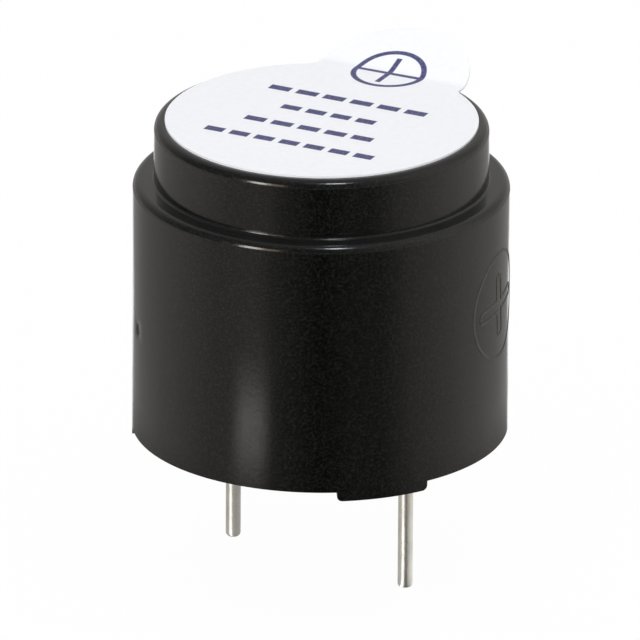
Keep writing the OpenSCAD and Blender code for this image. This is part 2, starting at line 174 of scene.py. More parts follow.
class BUZZER_PG_studio(PropertyGroup):
    """Levels of the studio's lights and the floor's shadow."""
    ambient: number("Room light", "Strength of the even light from all round", 0.6, min=0.0)
    key: number("Overhead panel", "Power of the panel overhead", 1.0, min=0.0, unit="POWER")
    shadow: number("Shadow", "Share of the shadow that the floor shows", 0.03, min=0.0, max=1.0, subtype="FACTOR")


def linked(bm, name, materials):
    """Turns a bmesh into an object of the scene."""
    mesh = bpy.data.meshes.new(name)
    bm.to_mesh(mesh)
    bm.free()
    for material in materials:
        mesh.materials.append(material)
    made = bpy.data.objects.new(name, mesh)
    bpy.context.scene.collection.objects.link(made)
    return made


def mesh_object(bm, name, materials):
    """Turns a bmesh in millimetres into a piece, with flat faces kept flat beside round ones."""
    bmesh.ops.scale(bm, vec=(MM, MM, MM), verts=bm.verts)
    bm.normal_update()
    for face in bm.faces:
        face.smooth = True
    for edge in bm.edges:
        edge.smooth = not (edge.is_manifold and abs(edge.calc_face_angle(0.0)) > SMOOTH_ANGLE)
    piece = linked(bm, name, materials)
    weighted = piece.modifiers.new("Weighted normals", "WEIGHTED_NORMAL")
    weighted.keep_sharp = True
    weighted.mode = "FACE_AREA"
    return piece


def outwards(bm):
    """Turns all faces outwards."""
    bmesh.ops.recalc_face_normals(bm, faces=bm.faces)


def sealed(bm):
    """Joins what meets at seams and poles, and turns the faces outwards."""
    bmesh.ops.remove_doubles(bm, verts=bm.verts, dist=1e-4)
    outwards(bm)


def shift(bm, verts, x=0.0, y=0.0, z=0.0):
    """Moves vertices."""
    bmesh.ops.translate(bm, verts=verts, vec=(x, y, z))


def about_axis(bm, radians):
    """Turns everything about the upright axis."""
    bmesh.ops.rotate(bm, verts=bm.verts, cent=(0, 0, 0), matrix=Matrix.Rotation(radians, 3, "Z"))


def circle(bm, radius, segments, filled=False):
    """Adds a level circle and gives its vertices."""
    return bmesh.ops.create_circle(bm, cap_ends=filled, segments=segments, radius=radius)["verts"]


def verts_of(geometry):
    """The vertices among what an operation made."""
    return [v for v in geometry if isinstance(v, bmesh.types.BMVert)]


def pulled(bm, faces, **settings):
    """Extrudes faces and gives the new vertices."""
    return verts_of(bmesh.ops.extrude_face_region(bm, geom=faces, **settings)["geom"])


def cut_across(bm, point, normal):
    """Cuts everything where a plane meets it."""
    bmesh.ops.bisect_plane(bm, geom=bm.verts[:] + bm.edges[:] + bm.faces[:], dist=1e-5, plane_co=point,
                           plane_no=normal)


def rounded(bm, geometry, radius, steps, affect="EDGES"):
    """Rounds edges, or the corners of a flat outline."""
    bmesh.ops.bevel(bm, geom=geometry, affect=affect, offset=radius, offset_type="OFFSET", segments=steps,
                    profile=0.5, material=-1, clamp_overlap=affect == "EDGES")


def section(bm, corners):
    """Outline in the XZ plane: corners of radius and height, some with a rounding and its steps."""
    verts = [bm.verts.new((radius, 0.0, height)) for radius, height, *_ in corners]
    bm.faces.new(verts)
    for vert, (_, _, *rounding) in zip(verts, corners):
        if rounding:
            rounded(bm, [vert], *rounding, affect="VERTICES")
    bmesh.ops.delete(bm, geom=bm.faces[:], context="FACES_ONLY")


def turn(bm, geometry, degrees, steps, closed=False):
    """Spins an outline round the axis and gives the outline's last copy."""
    made = bmesh.ops.spin(bm, geom=geometry, cent=(0, 0, 0), axis=(0, 0, 1), dvec=(0, 0, 0),
                          angle=math.radians(degrees), steps=steps, use_merge=closed, use_duplicate=False)
    return made["geom_last"]


def off_course(point, degrees):
    """How many degrees a point's direction round the axis is from a given one."""
    return (math.degrees(math.atan2(point.y, point.x)) - degrees + 180) % 360 - 180


def add_feet(bm, sizes, rim, inner, outer):
    """Pulls the feet out of the wall's lower face and rounds all lower edges."""
    first, span = math.degrees(sizes.first_foot), math.degrees(sizes.foot_span)
    pitch = 360 / sizes.foot_count

    def in_foot(point):
        off = off_course(point, first) % pitch
        return inner < point.xy.length < outer and min(off, pitch - off) < span / 2

    def sharp_up_to(height):
        return [e for e in bm.edges if e.is_manifold and e.calc_face_angle_signed(0.0) > math.radians(40)
                and max(v.co.z for v in e.verts) < height + CLOSE]

    lower = [f for f in bm.faces if all(abs(v.co.z - rim) < CLOSE for v in f.verts)
             and in_foot(f.calc_center_median())]
    shift(bm, pulled(bm, lower), z=-rim)
    outwards(bm)
    ends = [e for e in sharp_up_to(0)
            if abs(e.verts[0].co.xy.length - e.verts[1].co.xy.length) > (outer - inner) / 2]
    rounded(bm, ends, sizes.foot_round / MM, 6)
    rounded(bm, sharp_up_to(rim), sizes.lower_round / MM, 4)


def wrap_on_wall(verts, radius, direction, height):
    """Lays flat work (x along the wall, y up, z outwards) on the round wall."""
    for vert in verts:
        across, up, out = vert.co
        at = direction + across / radius
        vert.co = ((radius + out) * math.cos(at), (radius + out) * math.sin(at), height + up)


def raised_line(bm, line, sunk, relief):
    """Turns a flat face into a raised line along its edge, with eased upper edges."""
    outline = bm.faces[:]
    bmesh.ops.inset_region(bm, faces=outline, thickness=line, use_even_offset=True, use_boundary=True)
    bmesh.ops.delete(bm, geom=outline, context="FACES_ONLY")
    top = pulled(bm, bm.faces[:], use_keep_orig=True)
    shift(bm, bm.verts, z=-sunk)
    shift(bm, top, z=sunk + relief)
    outwards(bm)
    crest = [e for e in bm.edges if e.is_manifold and e.calc_face_angle(0.0) > math.radians(60)
             and min(v.co.z for v in e.verts) > relief * 0.5]
    rounded(bm, crest, min(relief, line) * 0.6, 2)


def add_polarity_mark(bm, marks, radius):
    """Adds the raised plus sign and its ring, sunk a little into the wall."""
    sunk = 0.1
    reach, rise, half = marks.plus_reach / MM, marks.plus_rise / MM, marks.plus_width / MM / 2
    ring = bmesh.new()
    circle(ring, marks.ring_radius / MM, 120, filled=True)
    plus = bmesh.new()
    corners = []
    for quarter in range(4):
        spin = Matrix.Rotation(quarter * math.pi / 2, 3, "Z")
        arm = rise if quarter % 2 else reach
        corners += [spin @ Vector(p) for p in ((arm, -half, 0), (arm, half, 0), (half, half, 0))]
    plus.faces.new([plus.verts.new(c) for c in corners])
    ends = [v for v in plus.verts if v.co.length > min(reach, rise)]
    rounded(plus, ends, half * 0.98, 5, affect="VERTICES")
    long_edges = [e for e in plus.edges if e.calc_length() > half * 2]
    bmesh.ops.subdivide_edges(plus, edges=long_edges, cuts=6)
    for part, lean in ((ring, 0.0), (plus, marks.lean)):
        raised_line(part, marks.line / MM, sunk, marks.relief / MM)
        about_axis(part, lean)
        wrap_on_wall(part.verts, radius, marks.direction, marks.height / MM)
        for face in part.faces:
            face.material_index = 1
        passing = bpy.data.meshes.new("passing")
        part.to_mesh(passing)
        part.free()
        bm.from_mesh(passing)
        bpy.data.meshes.remove(passing)


def add_gate_pit(bm, marks, radius):
    """Sinks the injection mark's shallow round pit into the wall."""
    size, depth = marks.gate_radius / MM, marks.gate_depth / MM
    middle, direction = marks.gate_height / MM, math.degrees(marks.gate_direction)
    reach = size * 2.2
    for height in (middle - reach, middle + reach):
        cut_across(bm, (0, 0, height), (0, 0, 1))

    def in_window(point):
        return (abs(point.z - middle) < reach and abs(point.xy.length - radius) < 0.01
                and abs(off_course(point, direction)) * math.radians(1) * radius < reach)

    window = [f for f in bm.faces if in_window(f.calc_center_median())]
    before = set(bm.edges)
    edges = {e for f in window for e in f.edges if not all(g in window for g in e.link_faces)}
    bmesh.ops.delete(bm, geom=window, context="FACES")
    wrap_on_wall(circle(bm, size * 1.25, 24), radius, marks.gate_direction, middle)
    loop = [e for e in bm.edges if e not in before]
    bmesh.ops.bridge_loops(bm, edges=[e for e in edges if e.is_valid] + loop)
    for shrink, sink in ((0.8, 0.35), (0.85, 0.85), (0.7, 1.0), (0.5, 1.0)):
        made = bmesh.ops.extrude_edge_only(bm, edges=loop)["geom"]
        verts = verts_of(made)
        loop = [e for e in made if isinstance(e, bmesh.types.BMEdge)]
        heart = sum((v.co for v in verts), Vector()) / len(verts)
        inward = Vector((heart.x, heart.y, 0)).normalized()
        for vert in verts:
            flat = vert.co - heart
            vert.co = heart + (flat - inward * flat.dot(inward)) * shrink
            vert.co += inward * (radius - depth * sink - vert.co.dot(inward))
    bmesh.ops.contextual_create(bm, geom=loop)
    outwards(bm)


class BUZZER_OT_housing(Operator):
    """Moulded housing: round shoulder, rounded top edge, feet, raised polarity mark and injection mark"""
    bl_idname = "buzzer.housing"
    bl_label = "Housing"

    def execute(self, context):
        sizes, marks = context.scene.buzzer_housing, context.scene.buzzer_marks
        body, wall, hole = sizes.body_radius / MM, sizes.wall / MM, sizes.sound_hole / MM
        rim, roof = sizes.foot_height / MM, FILM_LOW.z / MM
        inner, neck = body - wall, body - sizes.shoulder / MM
        chamber = neck - wall
        z_shoulder, z_chamber = roof - sizes.neck_height / MM, roof - sizes.top / MM
        z_ledge = z_shoulder - wall
        bm = bmesh.new()
        section(bm, (
            (inner, rim), (body, rim), (body, z_shoulder, sizes.shoulder_round / MM, 8),
            (neck, z_shoulder, sizes.neck_hollow / MM, 5), (neck, roof, sizes.top_round / MM, 10), (hole, roof),
            (hole, z_chamber), (chamber, z_chamber), (chamber, z_ledge), (inner, z_ledge)))
        about_axis(bm, sizes.first_foot - sizes.foot_span / 2)
        span = math.degrees(sizes.foot_span)
        gap = 360 / sizes.foot_count - span
        outline = bm.verts[:] + bm.edges[:]
        for _ in range(sizes.foot_count):
            outline = turn(bm, outline, span, 16)
            outline = turn(bm, outline, gap, 48)
        sealed(bm)
        cut_across(bm, (0, 0, rim + 0.3), (0, 0, 1))
        add_feet(bm, sizes, rim, inner, body)
        add_gate_pit(bm, marks, body)
        add_polarity_mark(bm, marks, body)
        piece = mesh_object(bm, "housing_moulding", [moulded_plastic("Housing plastic"),
                                                     etched_plastic("Mark plastic")])
        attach(piece, "root")
        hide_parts("housing")
        return {"FINISHED"}


def film_outline(bm, seal):
    """Flat film: the round part and the tab's round end as one outline, tab along +X."""
    radius, tab, overlap = seal.radius / MM, seal.tab_radius / MM, 0.02
    centre = Vector((seal.tab_centre / MM, seal.tab_aside / MM, 0))
    body = circle(bm, radius, 192)
    inside = [v for v in body if (v.co - centre).length < tab + overlap]
    bmesh.ops.delete(bm, geom=inside, context="VERTS")
    end = circle(bm, tab, 128)
    shift(bm, end, *centre)
    inside = [v for v in end if v.co.length < radius + overlap]
    bmesh.ops.delete(bm, geom=inside, context="VERTS")
    loose = [v for v in bm.verts if len(v.link_edges) == 1]
    for side in (-1, 1):
        bm.edges.new([v for v in loose if v.co.y * side > 0])
    bmesh.ops.contextual_create(bm, geom=bm.edges[:])


def cut_rows(bm, start, stop, count):
    """Cuts a flat sheet along evenly spaced rows."""
    for step in range(count + 1):
        cut_across(bm, (start + (stop - start) * step / count, 0, 0), (1, 0, 0))


class BUZZER_OT_wash_seal(Operator):
    """Wash seal: one film, flat on the housing and bent up at its pull tab, with its print laid on the film"""
    bl_idname = "buzzer.wash_seal"
    bl_label = "Wash seal"

    def execute(self, context):
        seal = context.scene.buzzer_seal
        fold, bend_r = seal.fold / MM, seal.bend_radius / MM
        bent, reach = seal.bend * bend_r, (seal.tab_centre + seal.tab_radius) / MM
        bm = bmesh.new()
        film_outline(bm, seal)
        cut_rows(bm, fold, fold + bent, 8)
        cut_rows(bm, fold + bent, reach - 0.05, 6)
        flat = bm.verts.layers.float_vector.new("Flat film")
        for vert in bm.verts:
            vert[flat] = vert.co
            beyond = vert.co.x - fold
            if beyond > 0:
                arc, rest = min(seal.bend, beyond / bend_r), max(0.0, beyond - bent)
                vert.co.x = fold + bend_r * math.sin(arc) + rest * math.cos(seal.bend)
                vert.co.z = bend_r * (1 - math.cos(arc)) + rest * math.sin(seal.bend)
        outwards(bm)
        if sum(f.normal.z * f.calc_area() for f in bm.faces) > 0:
            bmesh.ops.reverse_faces(bm, faces=bm.faces)
        bmesh.ops.solidify(bm, geom=bm.faces[:], thickness=-seal.film / MM)
        outwards(bm)
        shift(bm, bm.verts, z=FILM_LOW.z / MM - min(v.co.z for v in bm.verts))
        about_axis(bm, seal.direction)
        uv = bm.loops.layers.uv.new("Flat film")
        for face in bm.faces:
            face.material_index = 0 if face.normal.z > 0.5 else 1
            for loop in face.loops:
                loop[uv].uv = (0.5 + loop.vert[flat].x / FILM_MAP, 0.5 + loop.vert[flat].y / FILM_MAP)
        piece = mesh_object(bm, "wash_seal_film", [film_surface("Printed film", seal), film_surface("Film edge")])
        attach(piece, "root")
        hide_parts("wash_seal")
        return {"FINISHED"}


class BUZZER_OT_leads(Operator):
    """Two round tinned leads with rounded tips, the longer one under the plus sign"""
    bl_idname = "buzzer.leads"
    bl_label = "Leads"

    def execute(self, context):
        leads = context.scene.buzzer_leads
        radius, collar = leads.radius / MM, leads.collar / MM
        low, high, top = RESIN_HIGH.z / MM - RESIN_DEPTH, RESIN_HIGH.z / MM, LEAD_TOP.z / MM
        for name, node, side, tip in (("positive_lead", "positive_pin", 1, LONG_TIP.z / MM),
                                      ("negative_lead", "negative_pin", -1, SHORT_TIP.z / MM)):
            bm = bmesh.new()
            section(bm, ((0, tip), (radius, tip, leads.tip_round / MM, 8), (radius, low), (collar, low),
                         (collar, high), (radius, high), (radius, top), (0, top)))
            axis = [e for e in bm.edges if all(abs(v.co.x) < 1e-6 for v in e.verts)]
            bmesh.ops.delete(bm, geom=axis, context="EDGES")
            turn(bm, bm.verts[:] + bm.edges[:], 360, 64, closed=True)
            sealed(bm)
            shift(bm, bm.verts, x=side * leads.pitch / MM / 2)
            piece = mesh_object(bm, name, [tinned_lead("Tinned " + name)])
            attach(piece, "root")
            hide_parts(node)
        return {"FINISHED"}


class BUZZER_OT_resin(Operator):
    """Potting resin under the base, creeping up the wall and the leads"""
    bl_idname = "buzzer.resin"
    bl_label = "Resin"

    def execute(self, context):
        leads = context.scene.buzzer_leads
        face_z = RESIN_HIGH.z / MM - RESIN_DEPTH
        outer = (RESIN_HIGH.x - RESIN_LOW.x) / 2 / MM
        bore, side = leads.radius / MM + 0.01, leads.pitch / MM / 2
        wall_rings = [outer - step for step in (0.0, 0.06, 0.14, 0.26, 0.45)]
        lead_rings = [bore + step for step in (0.0, 0.05, 0.12, 0.22, 0.4)]
        bm = bmesh.new()
        loops = []
        for centre, segments, rings in ((0, 192, wall_rings), (-side, 48, lead_rings), (side, 48, lead_rings)):
            edges = []
            for ring_radius in rings:
                ring = circle(bm, ring_radius, segments)
                shift(bm, ring, x=centre)
                edges.append(list({e for v in ring for e in v.link_edges}))
            for one, other in zip(edges, edges[1:]):
                bmesh.ops.bridge_loops(bm, edges=one + other)
            loops += edges[-1]
        bmesh.ops.triangle_fill(bm, use_beauty=True, edges=loops)
        shift(bm, bm.verts, z=face_z)
        outwards(bm)
        shift(bm, pulled(bm, bm.faces[:], use_keep_orig=True), z=RESIN_HIGH.z / MM - face_z)
        for vert in bm.verts:
            if vert.co.z < face_z + 0.01:
                to_wall = outer - vert.co.xy.length
                to_lead = min((vert.co.xy - Vector((x, 0))).length for x in (-side, side)) - bore
                vert.co.z -= leads.wall_creep / MM * math.exp(-to_wall / 0.11)
                vert.co.z -= leads.lead_creep / MM * math.exp(-to_lead / 0.1)
        outwards(bm)
        piece = mesh_object(bm, "potting_resin", [potting_resin("Potting resin")])
        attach(piece, "root")
        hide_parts("sealing_resin")
        return {"FINISHED"}


class BUZZER_OT_inner_parts(Operator):
    """Finishes for the pieces inside the housing, which keep the frame's own meshes"""
    bl_idname = "buzzer.inner_parts"
    bl_label = "Inner parts"

    def execute(self, context):
        steel = turned_metal("Spring steel", (0.56, 0.57, 0.58), 0.26, 9000)
        iron = turned_metal("Soft iron", (0.50, 0.50, 0.51), 0.38, 5200)
        solder = solder_metal("Solder")
        finishes = {
            "support_ring": speckled("Ring plastic", (0.68, 0.65, 0.57), (0.60, 0.57, 0.50), 0.45, 2600),
            "diaphragm": steel, "diaphragm_weight": iron, "pole_core": iron, "yoke_plate": iron,
            "ring_magnet": speckled("Magnet", (0.045, 0.045, 0.048), (0.10, 0.10, 0.105), 0.6, 5200),
            "coil": wound_wire("Enamelled wire"),
            "circuit_board": woven_board("Board"),
            "board_tracks": speckled("Copper", (0.80, 0.42, 0.22), (0.62, 0.30, 0.16), 0.3, 3000, metallic=1.0),
            "transistor": speckled("Part moulding", (0.016, 0.016, 0.018), (0.032, 0.032, 0.034), 0.5, 9000),
            "clamp_diode": speckled("Diode moulding", (0.02, 0.02, 0.022), (0.036, 0.036, 0.04), 0.5, 9000),
            "base_resistor": speckled("Resistor body", (0.018, 0.018, 0.02), (0.05, 0.05, 0.054), 0.4, 7000),
            "filter_capacitor": speckled("Ceramic", (0.46, 0.33, 0.20), (0.38, 0.27, 0.16), 0.4, 7000),
            "positive_pin_solder": solder, "negative_pin_solder": solder, "coil_lead_solder": solder,
            "base_cover": moulded_plastic("Cover plastic"),
        }
        for node, material in finishes.items():
            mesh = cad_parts[node].data
            mesh.materials.clear()
            mesh.materials.append(material)
        return {"FINISHED"}


class Wiring:
    """Short calls for building a node tree, fed with numbers, tuples and other nodes' outputs."""

    def __init__(self, tree):
        self.tree = tree

    def node(self, kind, values=None, **settings):
        made = self.tree.nodes.new(kind)
        for key, value in settings.items():
            setattr(made, key, value)
        for key, value in (values or {}).items():
            self.feed(made.inputs[key], value)
        return made

    def feed(self, socket, value):
        if isinstance(value, bpy.types.NodeSocket):
            self.tree.links.new(value, socket)
        else:
            socket.default_value = value

    def math(self, operation, *values, clamp=False):
        made = self.node("ShaderNodeMath", operation=operation, use_clamp=clamp)
        for socket, value in zip(made.inputs, values):
            self.feed(socket, value)
        return made.outputs[0]

    def plus(self, one, other, clamp=False):
        return self.math("ADD", one, other, clamp=clamp)

    def minus(self, one, other):
        return self.math("SUBTRACT", one, other)

    def times(self, one, other):
        return self.math("MULTIPLY", one, other)

    def most(self, one, other):
        return self.math("MAXIMUM", one, other)

    def away(self, x, y):
        return self.math("SQRT", self.plus(self.times(x, x), self.times(y, y)))

    def span(self, value, low, high, to_low=0.0, to_high=1.0):
        made = self.node("ShaderNodeMapRange", {"Value": value, "From Min": low, "From Max": high,
                                                "To Min": to_low, "To Max": to_high}, clamp=True)
        return made.outputs["Result"]

    def mix(self, factor, one, other):
        made = self.node("ShaderNodeMix", data_type="RGBA")
        for name, value in (("Factor_Float", factor), ("A_Color", one), ("B_Color", other)):
            socket = next(s for s in made.inputs if s.identifier == name)
            self.feed(socket, value if isinstance(value, (bpy.types.NodeSocket, float)) else (*value, 1.0))
        return next(s for s in made.outputs if s.identifier == "Result_Color")

    def noise(self, vector, scale, detail=2.0, roughness=0.5):
        return self.node("ShaderNodeTexNoise", {"Vector": vector, "Scale": scale, "Detail": detail,
                                                "Roughness": roughness}).outputs["Fac"]

    def waves(self, kind, direction, scale, distortion, detail=2.0):
        settings = {"wave_type": kind, kind.lower() + "_direction": direction}
        return self.node("ShaderNodeTexWave", {"Vector": self.place, "Scale": scale, "Distortion": distortion,
                                               "Detail": detail}, **settings).outputs["Fac"]

    def mapped(self, vector, **values):
        return self.node("ShaderNodeMapping", {"Vector": vector, **values}, vector_type="POINT").outputs["Vector"]

    def parts(self, vector):
        return self.node("ShaderNodeSeparateXYZ", {"Vector": vector}).outputs

    def group(self, name, **values):
        return self.node("ShaderNodeGroup", {"Vector": self.place, **values},
                         node_tree=bpy.data.node_groups[name]).outputs

    def blend(self, factor, one, other):
        return self.node("ShaderNodeMixShader", {0: factor, 1: one.outputs[0], 2: other.outputs[0]})

    def close(self, shader, kind="Material"):
        self.feed(self.node("ShaderNodeOutput" + kind).inputs["Surface"], shader.outputs[0])

    def dressed(self, tint, rough, height, strength, distance=0.00001):
        """Feeds the material's shader and gives the material."""
        bump = self.node("ShaderNodeBump", {"Height": height, "Strength": strength, "Distance": distance})
        for name, value in (("Base Color", tint), ("Roughness", rough), ("Normal", bump.outputs["Normal"])):
            self.feed(self.shader[name], value)
        return self.material


def emptied(owner):
    """Wiring for a material's or world's emptied node tree."""
    owner.use_nodes = True
    owner.node_tree.nodes.clear()
    return Wiring(owner.node_tree)


def blank_material(name):
    """Wiring for an empty material, with its object coordinates."""
    material = bpy.data.materials.new(name)
    w = emptied(material)
    w.material, w.place = material, w.node("ShaderNodeTexCoord").outputs["Object"]
    return w


def new_material(name, **values):
    """Wiring for a material with a Principled shader."""
    w = blank_material(name)
    shader = w.node("ShaderNodeBsdfPrincipled", {key.replace("_", " "): value for key, value in values.items()})
    w.close(shader)
    w.shader = shader.inputs
    return w


def shared_group(name, build, outputs, **inputs):
    """Makes a shader node group with a vector and the given sockets as inputs."""
    tree = bpy.data.node_groups.new(name, "ShaderNodeTree")
    tree.interface.new_socket(name="Vector", in_out="INPUT", socket_type="NodeSocketVector")
    for socket, value in inputs.items():
        kind = "NodeSocketVector" if isinstance(value, tuple) else "NodeSocketFloat"
        tree.interface.new_socket(name=socket, in_out="INPUT", socket_type=kind).default_value = value
    for socket in outputs:
        tree.interface.new_socket(name=socket, in_out="OUTPUT", socket_type="NodeSocketFloat")
    w = Wiring(tree)
    source, sink = w.node("NodeGroupInput"), w.node("NodeGroupOutput")
    for socket, value in build(w, source.outputs).items():
        w.feed(sink.inputs[socket], value)


def build_moulded_grain(w, given):
    """Faint orange peel of a polished mould, with a slow change of gloss."""
    vector, scale = given["Vector"], given["Scale"]
    return {"Height": w.noise(vector, scale, 3.0, 0.55), "Gloss": w.noise(vector, w.times(scale, 0.12))}


def build_dust(w, given):
    """A mask of sparse fine specks."""
    vector, scale = given["Vector"], given["Scale"]
    cells = w.node("ShaderNodeTexVoronoi", {"Vector": vector, "Scale": scale}, feature="F1")
    size = w.times(w.noise(vector, w.times(scale, 0.35)), given["Size"])
    return {"Mask": w.span(w.minus(size, cells.outputs["Distance"]), 0.0, 0.06)}


def build_scuffs(w, given):
    """A mask of short fine scratches along one axis."""
    fine = w.noise(w.mapped(given["Vector"], Scale=given["Stretch"]), given["Scale"], 4.0, 0.65)
    return {"Mask": w.span(fine, 0.52, 0.72), "Height": fine}


def make_groups():
    """The effects that more than one finish uses."""
    shared_group("Moulded grain", build_moulded_grain, ("Height", "Gloss"), Scale=6000)
    shared_group("Fine dust", build_dust, ("Mask",), Scale=2500, Size=0.3)
    shared_group("Fine scuffs", build_scuffs, ("Mask", "Height"), Scale=4000, Stretch=(1, 1, 1))


def chosen(name):
    """A colour of the finish."""
    return tuple(getattr(bpy.context.scene.buzzer_finish, name))


def toned(colour, factors, lift=0.0):
    """A colour made darker or lighter, as a whole or part by part."""
    if isinstance(factors, float):
        factors = (factors,) * 3
    return tuple(part * factor + lift for part, factor in zip(colour, factors))


def moulded_plastic(name):
    """Black glossy moulding with a faint peel, fine dust, rubbed spots and a painted sheen on faces that look up.
    """
    base = chosen("plastic")
    w = new_material(name, IOR=1.5)
    grain = w.group("Moulded grain", Scale=5200)
    dust = w.group("Fine dust", Scale=2600, Size=0.12)["Mask"]
    scuffs = w.group("Fine scuffs", Scale=1500, Stretch=(1, 1, 0.35))["Mask"]
    rough = w.plus(w.span(grain["Gloss"], 0.3, 0.7, 0.115, 0.165), w.times(scuffs, 0.05))
    rough = w.plus(rough, w.times(dust, 0.15), clamp=True)
    # Painted sheen: faces that look up get a lighter colour, as light from above would show them, varied with the
    # grain.
    upward = w.parts(w.node("ShaderNodeTexCoord").outputs["Normal"])["Z"]
    painted_top_sheen = w.times(w.span(upward, 0.75, 0.97), w.span(grain["Gloss"], 0.25, 0.7, 0.6, 1.0))
    mottle = w.span(w.noise(w.place, 11000, 2.0, 0.6), 0.45, 0.7)
    mottled = w.mix(mottle, toned(base, 0.1), toned(base, 3.8))
    tint = w.mix(w.most(dust, painted_top_sheen), mottled, toned(base, 1.0, lift=0.01))
    return w.dressed(tint, rough, grain["Height"], 0.18, 0.000012)


def etched_plastic(name):
    """The same moulding where the mould was etched: duller, with a finer and deeper grain."""
    base = chosen("mark")
    w = new_material(name, IOR=1.5)
    grain = w.group("Moulded grain", Scale=9000)
    tint = w.mix(grain["Gloss"], base, toned(base, 0.8))
    return w.dressed(tint, w.span(grain["Gloss"], 0.3, 0.7, 0.4, 0.48), grain["Height"], 0.25)


# The print's rows of bars: middle, width and number of bars. Then the gap between bars, half a bar's height,
# how far the sign's upright ends inside its ring, and half the softness of an edge. Sizes are in millimetres.
PRINT_ROWS = ((2.48, 7.4, 6), (0.63, 4.4, 4), (-1.22, 6.0, 5), (-3.07, 7.9, 7))
BAR_GAP, BAR_HALF, SIGN_INSET, PRINT_SOFT = 0.3, 0.24, 0.38, 0.02


def print_mask(w, seal):
    """Where the film is printed: a plain plus sign in a ring, and rows of plain bars."""
    uv = w.node("ShaderNodeUVMap", uv_map="Flat film").outputs["UV"]
    centred = w.node("ShaderNodeVectorMath", {0: uv, 1: (0.5, 0.5, 0.0)}, operation="SUBTRACT").outputs[0]
    sized = w.node("ShaderNodeVectorMath", {0: centred, "Scale": FILM_MAP}, operation="SCALE").outputs[0]
    lean = math.degrees(seal.print_direction - seal.direction)
    facing = w.parts(w.mapped(sized, Rotation=(0, 0, math.radians(90 - lean))))
    x, y = facing["X"], facing["Y"]

    def within(distance, half):
        return w.span(w.math("ABSOLUTE", distance), half + PRINT_SOFT, half - PRINT_SOFT)

    line = seal.sign_line / MM / 2
    ring_at = seal.sign_radius / MM - line
    aside, up = w.minus(x, seal.sign_aside / MM), w.minus(y, seal.sign_centre / MM)
    ring = within(w.minus(w.away(aside, up), ring_at), line)
    upright = w.times(within(aside, line), within(up, ring_at - SIGN_INSET))
    level = w.times(within(up, line * 0.95), within(aside, ring_at))
    ink = w.most(ring, w.most(upright, level))
    for middle, width, count in PRINT_ROWS:
        pitch = (width + BAR_GAP) / count
        cell = w.minus(w.math("MODULO", w.plus(x, (width + BAR_GAP) / 2), pitch), pitch / 2)
        bar = w.times(within(cell, (pitch - BAR_GAP) / 2), within(w.minus(y, middle), BAR_HALF))
        ink = w.most(ink, w.times(bar, within(x, width / 2)))
    return w.times(ink, w.span(w.noise(sized, 9.0, 4.0, 0.6), 0.25, 0.5, 0.78, 1.0))


def film_surface(name, seal=None):
    """The film: matt, slightly uneven, and printed where its seal is given."""
    base = chosen("film")
    w = new_material(name, IOR=1.45)
    grain = w.group("Moulded grain", Scale=3600)["Height"]
    tint = w.mix(w.span(grain, 0.35, 0.65), base, toned(base, 0.975))
    if seal is not None:
        tint = w.mix(print_mask(w, seal), tint, chosen("ink"))
    return w.dressed(tint, 0.5, grain, 0.12)


def tinned_lead(name):
    """Bright uneven tin with drawn lines, duller patches and a warm tarnish near the top."""
    base = chosen("tin")
    w = new_material(name, Metallic=1.0)
    lines = w.group("Fine scuffs", Scale=5200, Stretch=(1, 1, 0.05))
    patches = w.noise(w.place, 900, 3.0, 0.6)
    stain = w.times(w.span(w.noise(w.place, 1300, 3.0, 0.6), 0.44, 0.62),
                    w.span(w.parts(w.place)["Z"], -0.0042, -0.0005, 0.1, 1.0))
    clean = w.mix(w.span(patches, 0.38, 0.66), base, toned(base, (0.84, 0.83, 0.81)))
    tint = w.mix(stain, clean, toned(base, (0.88, 0.77, 0.56)))
    rough = w.plus(w.span(patches, 0.3, 0.7, 0.16, 0.3), w.times(lines["Mask"], 0.1))
    drawn = w.noise(w.mapped(w.place, Scale=(1, 1, 0.4)), 1700, 3.0, 0.6)
    return w.dressed(tint, rough, w.math("MULTIPLY_ADD", drawn, 9.0, lines["Height"]), 0.35)


def potting_resin(name):
    """Dark cast resin with a slow wave in its skin and a few specks."""
    base = chosen("resin")
    w = new_material(name, IOR=1.5)
    wave = w.noise(w.place, 420, 2.0, 0.4)
    dust = w.group("Fine dust", Scale=1800, Size=0.25)["Mask"]
    rough = w.plus(w.span(wave, 0.3, 0.7, 0.12, 0.24), w.times(dust, 0.3))
    return w.dressed(w.mix(dust, base, toned(base, 1.0, lift=0.03)), rough, wave, 0.35, 0.00008)


def speckled(name, base, fleck, rough, scale, metallic=0.0):
    """A moulded, cast or plated surface with fine flecks of a second tone."""
    w = new_material(name, Metallic=metallic)
    grain = w.group("Moulded grain", Scale=scale)
    dust = w.group("Fine dust", Scale=scale * 0.6, Size=0.35)["Mask"]
    tint = w.mix(w.most(w.span(grain["Gloss"], 0.35, 0.7), dust), base, fleck)
    return w.dressed(tint, w.span(grain["Height"], 0.3, 0.7, rough - 0.05, rough + 0.08), grain["Height"], 0.3)


def turned_metal(name, base, rough, scale):
    """Metal with the fine rings that a lathe or a rolling mill leaves."""
    w = new_material(name, Metallic=1.0)
    rings = w.waves("RINGS", "Z", scale, 1.5)
    lines = w.group("Fine scuffs", Scale=scale)["Mask"]
    return w.dressed(w.mix(lines, base, toned(base, 0.8)), w.span(rings, 0.0, 1.0, rough, rough + 0.1), rings, 0.2,
                     0.000006)


def solder_metal(name):
    """Solder: bright, with a slightly grained skin."""
    w = new_material(name, Metallic=1.0)
    grain = w.group("Moulded grain", Scale=4200)
    tint = w.mix(w.span(grain["Gloss"], 0.3, 0.7), (0.74, 0.74, 0.73), (0.6, 0.6, 0.6))
    return w.dressed(tint, w.span(grain["Height"], 0.3, 0.7, 0.2, 0.38), grain["Height"], 0.4, 0.000015)


